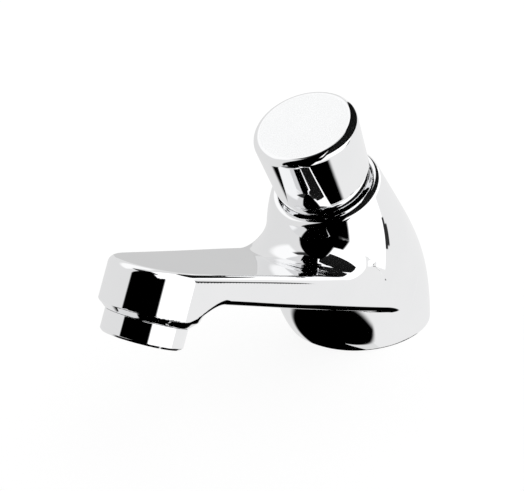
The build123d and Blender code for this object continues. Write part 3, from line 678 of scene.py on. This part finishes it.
def studio(patches, base):
    """Light by direction: soft-edged patches over a base, in degrees round from -Y and above level."""
    world = bpy.data.worlds.new("studio")
    bpy.context.scene.world = world
    n = Nodes(world)
    way = n.add("ShaderNodeSeparateXYZ")
    n.link(n.add("ShaderNodeTexCoord").outputs["Generated"], way.inputs[0])
    x, y, z = way.outputs
    to_degrees = 180 / math.pi
    azimuth = n.math("MULTIPLY", n.math("ARCTAN2", x, n.math("MULTIPLY", y, -1.0)), to_degrees)
    height = n.math("MULTIPLY", n.math("ARCSINE", z), to_degrees)
    value = base
    for left, right, low, high, soft, light in patches:
        middle, half = (left + right) / 2, (right - left) / 2
        turned = n.add("ShaderNodeMath", operation="WRAP")
        n.link(n.math("SUBTRACT", azimuth, middle), turned.inputs[0])
        turned.inputs[1].default_value = 180.0
        turned.inputs[2].default_value = -180.0
        off = n.math("ABSOLUTE", turned.outputs[0])
        across = n.step(off, half + soft / 2, half - soft / 2)
        rise = n.step(height, low - soft / 2, low + soft / 2)
        fall = n.step(height, high + soft / 2, high - soft / 2)
        value = n.mix(n.math("MULTIPLY", across, n.math("MULTIPLY", rise, fall)), value, light)
    shine = n.add("ShaderNodeBackground")
    n.feed(shine.inputs["Color"], (1.0, 1.0, 1.0, 1.0))
    n.feed(shine.inputs["Strength"], value)
    output = n.add("ShaderNodeOutputWorld")
    n.link(shine.outputs[0], output.inputs["Surface"])


WHITE, SOFT_WHITE, BRIGHT, PALE, GREY, DIM, DARK = 1.25, 1.05, 0.88, 0.78, 0.62, 0.03, 0.0
STUDIO = (
    # left, right, low, high, soft edge, light
    (40, 180, -50, 90, 4, WHITE),
    (180, 205, -50, 20, 8, WHITE),
    (57, 126, -60, -27, 0.6, BRIGHT),
    (127, 207, -60, 13, 3, BRIGHT),
    # The dark crescent on the column, and the spout's side below it
    (125.5, 130, -19.5, -3, 1, DIM),
    (125.5, 133.5, -18, -7, 1, DIM),
    (125, 207, -60, -19.5, 0.6, BRIGHT),
    (-152, -133, -16, 6, 2, GREY),
    (-150, -50, 36, 70, 12, SOFT_WHITE),
    (-70, 60, 60, 95, 6, DIM),
    # The black bands down the nose, the outlet ring and the button
    (-23, 40, -20, 95, 4, DARK),
    (-23, 57, -17, 20, 4, DARK),
    (-5, 45, -60, -15, 4, DARK),
    # The black foot of the column, and the band along the spout's underside
    (-210, 112, -95, -48, 5, DARK),
    (137, 205, -95, -38, 2, DARK),
)
CARD_DISTANCE = 60 * MM
CARD_SWEEP = (50, 185)    # round from -Y, in degrees
CARD_RISE = (8, 80)       # above level


def near_card():
    """A curved black card by the button that only its polished rim shows."""
    middle = Vector((0, BUTTON_FOOT_Y, 0)) + BUTTON_WAY * BUTTON_TOP_S
    across, up = 24, 12
    verts, faces = [], []
    for i in range(across + 1):
        side = math.radians(CARD_SWEEP[0] + (CARD_SWEEP[1] - CARD_SWEEP[0]) * i / across)
        for j in range(up + 1):
            rise = math.radians(CARD_RISE[0] + (CARD_RISE[1] - CARD_RISE[0]) * j / up)
            level = math.cos(rise)
            way = Vector((math.sin(side) * level, -math.cos(side) * level, math.sin(rise)))
            verts.append(middle + way * CARD_DISTANCE)
    for i in range(across):
        for j in range(up):
            k = i * (up + 1) + j
            faces.append((k, k + up + 1, k + up + 2, k + 1))
    mesh = bpy.data.meshes.new("black_card")
    mesh.from_pydata(verts, [], faces)
    card = bpy.data.objects.new("black_card", mesh)
    bpy.context.scene.collection.objects.link(card)
    assign(card, glowing("card_black", 0, 0.0))
    card.visible_camera = False
    card.visible_diffuse = False
    card.visible_shadow = False


def stage():
    """The floor under the tap and the pale room round it."""
    bpy.ops.mesh.primitive_circle_add(vertices=96, radius=STAGE_R, fill_type="NGON")
    floor = bpy.context.object
    floor.name = "floor"
    bpy.ops.mesh.primitive_uv_sphere_add(segments=96, ring_count=48, radius=STAGE_R)
    room = bpy.context.object
    room.name = "room"
    room.data.polygons.foreach_set("use_smooth", [True] * len(room.data.polygons))
    assign(floor, glowing("floor_white", FLOOR_GLOW, FLOOR_TONE))
    assign(room, glowing("room_white", ROOM_GLOW, ROOM_TONE))
    for piece in (floor, room):
        piece.visible_glossy = False
        piece.visible_diffuse = False
        piece.visible_transmission = False
        piece.visible_shadow = False


def photo_camera():
    """The camera at the photograph's place."""
    data = bpy.data.cameras.new("camera")
    camera = bpy.data.objects.new("camera", data)
    bpy.context.scene.collection.objects.link(camera)
    bpy.context.scene.camera = camera
    level = math.cos(CAMERA_ELEVATION)
    back = Vector((math.sin(CAMERA_AZIMUTH) * level, -math.cos(CAMERA_AZIMUTH) * level,
                   math.sin(CAMERA_ELEVATION)))
    camera.location = CAMERA_TARGET + back * CAMERA_DISTANCE
    camera.rotation_mode = "QUATERNION"
    camera.rotation_quaternion = (-back).to_track_quat("-Z", "Y")
    data.sensor_width = 36
    data.lens = FOCAL_PIXELS * data.sensor_width / PHOTO_WIDTH
    data.shift_x = (PHOTO_WIDTH / 2 - CENTRE_PIXEL[0]) / PHOTO_WIDTH
    data.shift_y = (CENTRE_PIXEL[1] - PHOTO_HEIGHT / 2) / PHOTO_WIDTH
    data.clip_start = 0.01
    data.clip_end = 20


photo_camera()
stage()
near_card()
studio(STUDIO, PALE)
bpy.context.scene.view_settings.view_transform = "Standard"

finishes = {
    "body_chrome": chrome(),
    "button_chrome": chrome(),
    "ring_chrome": chrome(),
    "bare_brass": bare_brass(),
    "stainless": stainless(),
    "seal_rubber": rubber(),
    "white_plastic": plastic("white_plastic", (0.74, 0.74, 0.71), (0.84, 0.84, 0.81)),
    "grey_plastic": plastic("grey_plastic", (0.28, 0.29, 0.30), (0.38, 0.39, 0.40)),
}
for row in frame["record"]["subparts"]:
    assign(nodes[row["node"]], finishes[row["material_slot"]])

shell = body_shell()
assign(shell, finishes["body_chrome"])
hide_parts("body")

button_foot = (0, BUTTON_FOOT_Y, 0)
cap = lathe("button_cap", BUTTON_CORNERS, button_foot, BUTTON_TILT, "button")
assign(cap, finishes["button_chrome"], satin_chrome())
satin_disc(cap)
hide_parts("push_button")

outlet_foot = (0, OUTLET_Y, OUTLET_Z)
ring = lathe("outlet_ring", RING_CORNERS, outlet_foot, OUTLET_TILT, "tap")
assign(ring, finishes["ring_chrome"])
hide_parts("aerator_ring")
